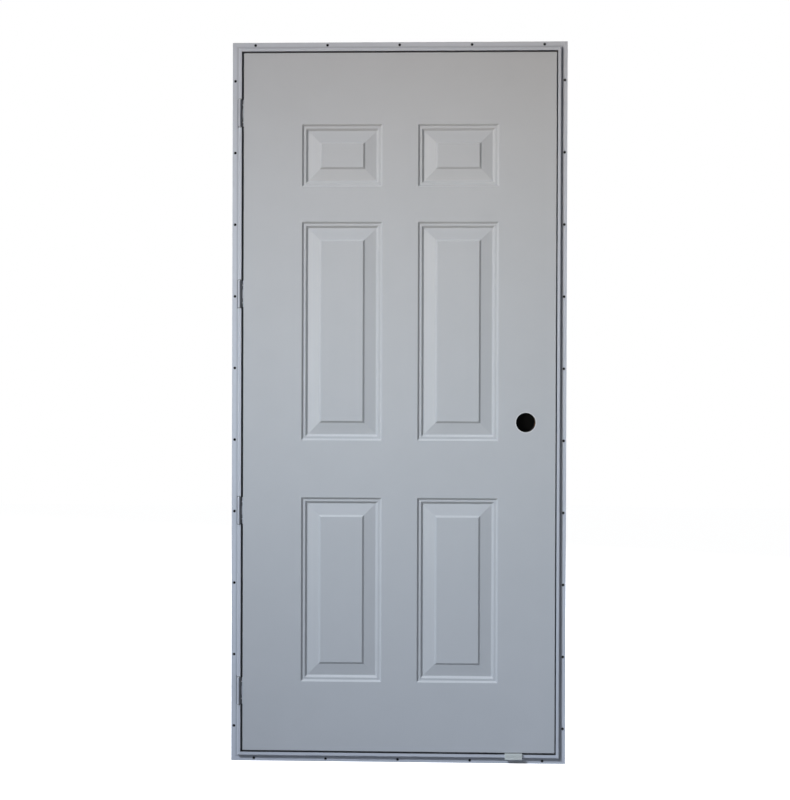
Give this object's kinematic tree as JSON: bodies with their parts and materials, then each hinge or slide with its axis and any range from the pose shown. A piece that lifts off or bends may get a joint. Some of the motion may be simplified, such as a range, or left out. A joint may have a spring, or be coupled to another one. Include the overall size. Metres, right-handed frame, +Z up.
{
  "type": "panelled front door",
  "caption": "Pale grey pressed-steel panelled entry door hung on hinges in a flanged frame, opening outward, with an empty lockset bore.",
  "frame": {"origin": "Middle of the frame's width, on the wall plane behind the flange, at the bottom edge of the sill's flange.", "axes": "+Z up, +X toward the lock side, +Y into the building; the door opens toward -Y."},
  "size_m": [0.9266, 0.0711, 1.9944],
  "materials": {
    "frame_paint": "satin pale grey enamel on aluminium",
    "outer_paint": "satin pale grey baked enamel",
    "inner_paint": "satin pale grey baked enamel",
    "hinge_paint": "pale grey enamel on steel",
    "bare_aluminium": "mill",
    "seal_rubber": "matte black",
    "clip_plastic": "moulded off-white",
    "timber": "bare softwood",
    "foam": "expanded foam",
    "screw_steel": "zinc plated",
    "pin_steel": "zinc plated"
  },
  "bodies": {
    "frame": {"frame_head": "frame_paint", "frame_sill": "frame_paint", "hinge_jamb": "frame_paint", "strike_jamb": "frame_paint", "corner_keys": "bare_aluminium", "head_seal": "seal_rubber", "sill_seal": "seal_rubber", "strike_seal": "seal_rubber", "hinge_seal": "seal_rubber", "sill_clip": "clip_plastic", "frame_screws": "screw_steel", "hinge_1_frame_leaf": "hinge_paint", "hinge_1_pin": "pin_steel", "hinge_2_frame_leaf": "hinge_paint", "hinge_2_pin": "pin_steel", "hinge_3_frame_leaf": "hinge_paint", "hinge_3_pin": "pin_steel", "hinge_4_frame_leaf": "hinge_paint", "hinge_4_pin": "pin_steel"},
    "door": {"outer_skin": "outer_paint", "inner_skin": "inner_paint", "hinge_stile": "timber", "lock_stile": "timber", "top_rail": "timber", "bottom_rail": "timber", "lock_block": "timber", "foam_core": "foam", "door_screws": "screw_steel", "hinge_1_door_leaf": "hinge_paint", "hinge_2_door_leaf": "hinge_paint", "hinge_3_door_leaf": "hinge_paint", "hinge_4_door_leaf": "hinge_paint"}
  },
  "joints": [
    {"name": "door_swing", "type": "hinge", "parent": "frame", "child": "door", "pos_m": [-0.4419, -0.0158, 0.9972], "axis": [0, 0, -1], "range_deg": [0, 170]}
  ]
}
